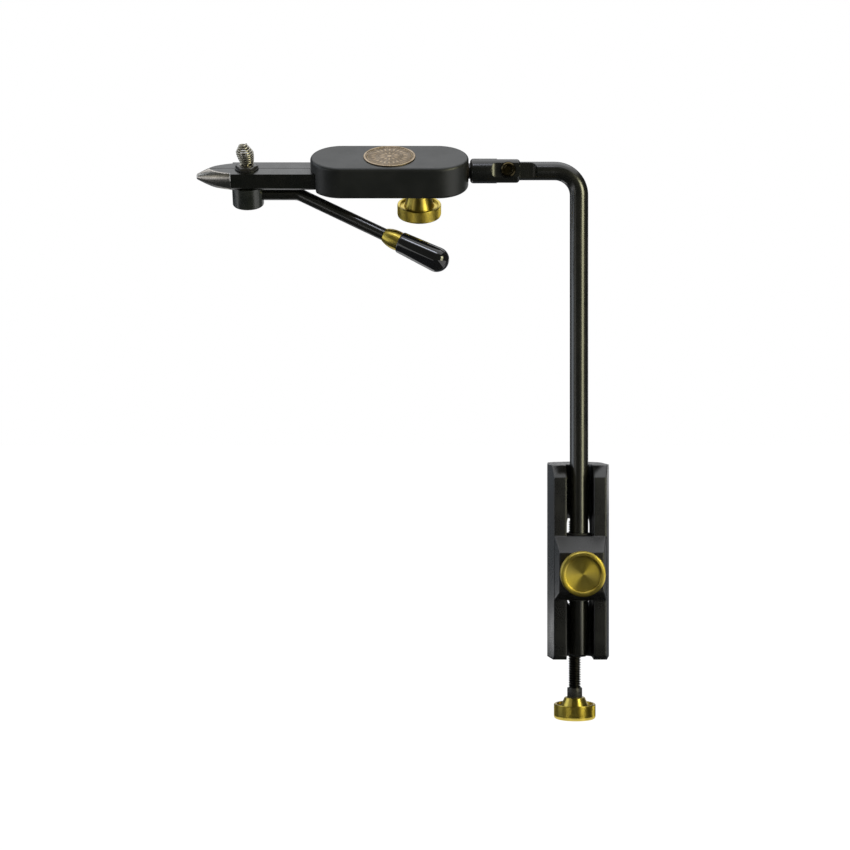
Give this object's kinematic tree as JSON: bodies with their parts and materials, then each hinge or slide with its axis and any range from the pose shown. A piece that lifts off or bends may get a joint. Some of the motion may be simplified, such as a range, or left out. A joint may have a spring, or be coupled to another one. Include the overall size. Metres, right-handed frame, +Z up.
{
  "type": "fly tying vise",
  "caption": "Bent-stem fly tying vise: C clamp, rotary head on a tilting neck, cam-lever split jaws, material spring, brass thumb knobs.",
  "frame": {"origin": "on the table face, which is the underside of the clamp's upper arm, at the clamp screw's axis", "axes": "+Z up along the clamp screw, -X towards the tip of the jaws, -Y towards the tyer"},
  "size_m": [0.2129, 0.0715, 0.3008],
  "materials": {
    "black_casting": "semi-gloss black",
    "black_oxide": "polished black oxide",
    "satin_black": "satin black anodised",
    "steel": "bright",
    "brass": "turned",
    "bronze": "matt bronze",
    "acetal": "plain black",
    "gloss_black": "high gloss",
    "nickel": "nickel plated wire"
  },
  "bodies": {
    "clamp": {"clamp_body": "black_casting"},
    "swivel_pad": {"swivel_pad": "black_oxide", "pad_circlip": "steel"},
    "clamp_screw": {"clamp_screw": "steel", "screw_collar": "black_oxide", "clamp_knob": "brass"},
    "stem_bush": {"stem_bush": "acetal"},
    "stem": {"stem": "black_oxide"},
    "stem_slug": {"stem_slug": "brass"},
    "stem_knob": {"stem_knob": "brass", "stem_knob_stud": "steel"},
    "neck": {"neck": "black_oxide", "pivot_bolt": "black_oxide", "pivot_washers": "black_oxide", "pivot_nut": "black_oxide", "spindle_ring": "steel"},
    "head": {"head_body": "satin_black", "head_cover": "satin_black", "cover_screws": "steel", "medallion": "bronze", "neck_bush": "bronze", "jaw_pins": "steel", "jaw_spring": "steel"},
    "head_slug": {"head_slug": "brass"},
    "head_knob": {"head_knob": "brass", "head_knob_stud": "steel"},
    "front_jaw": {"front_jaw": "black_oxide"},
    "back_jaw": {"back_jaw": "black_oxide"},
    "lever": {"cam_shaft": "steel", "cam_hub": "black_oxide", "lever_rod": "black_oxide", "lever_ferrule": "brass", "lever_grip": "gloss_black", "jaw_washer": "black_oxide", "jaw_nut": "black_oxide", "spring_seat": "steel", "material_spring": "nickel"}
  },
  "joints": [
    {"name": "pad_travel", "type": "slide", "parent": "clamp", "child": "swivel_pad", "axis": [0, 0, 1], "range_m": [-0.0558, 0.0079]},
    {"name": "clamp_screw_turn", "type": "hinge", "parent": "swivel_pad", "child": "clamp_screw", "pos_m": [0, 0, -0.0163], "axis": [0, 0, 1], "range_deg": [-15840, 2268]},
    {"name": "stem_swivel", "type": "hinge", "parent": "clamp", "child": "stem_bush", "pos_m": [0, -0.029, 0], "axis": [0, 0, 1], "continuous": true},
    {"name": "stem_height", "type": "slide", "parent": "stem_bush", "child": "stem", "axis": [0, 0, 1], "range_m": [-0.06, 0.028]},
    {"name": "stem_slug_travel", "type": "slide", "parent": "clamp", "child": "stem_slug", "axis": [0, 1, 0], "range_m": [-0.0019, 0]},
    {"name": "stem_knob_turn", "type": "hinge", "parent": "stem_slug", "child": "stem_knob", "pos_m": [0, -0.029, -0.0406], "axis": [0, 1, 0], "range_deg": [-540, 0]},
    {"name": "neck_tilt", "type": "hinge", "parent": "stem", "child": "neck", "pos_m": [-0.0367, -0.029, 0.1644], "axis": [0, 1, 0], "range_deg": [-50, 75]},
    {"name": "head_rotary", "type": "hinge", "parent": "neck", "child": "head", "pos_m": [-0.0569, -0.029, 0.1644], "axis": [1, 0, 0], "continuous": true},
    {"name": "head_slug_travel", "type": "slide", "parent": "head", "child": "head_slug", "axis": [0, -0.4848, 0.8746], "range_m": [-0.00126, 0]},
    {"name": "head_knob_turn", "type": "hinge", "parent": "head_slug", "child": "head_knob", "pos_m": [-0.0823, -0.029, 0.1644], "axis": [0, -0.4848, 0.8746], "range_deg": [-360, 0]},
    {"name": "cam_lever", "type": "hinge", "parent": "head", "child": "lever", "pos_m": [-0.171, -0.029, 0.1644], "axis": [0, 0.4848, -0.8746], "range_deg": [0, 90]},
    {"name": "front_jaw_open", "type": "hinge", "parent": "head", "child": "front_jaw", "pos_m": [-0.1234, -0.03267, 0.16236], "axis": [0, -0.4848, 0.8746], "range_deg": [0, 0.62]},
    {"name": "back_jaw_open", "type": "hinge", "parent": "head", "child": "back_jaw", "pos_m": [-0.1234, -0.02533, 0.16644], "axis": [0, -0.4848, 0.8746], "range_deg": [-0.62, 0]}
  ],
  "couplings": [
    {"joint": "clamp_screw_turn", "follows": "pad_travel", "rad_per_m": 4947.4},
    {"joint": "stem_knob_turn", "follows": "stem_slug_travel", "rad_per_m": 4947.4},
    {"joint": "head_knob_turn", "follows": "head_slug_travel", "rad_per_m": 4947.4},
    {"joint": "front_jaw_open", "follows": "cam_lever", "ratio": 0.0066872},
    {"joint": "back_jaw_open", "follows": "cam_lever", "ratio": -0.0066872}
  ]
}
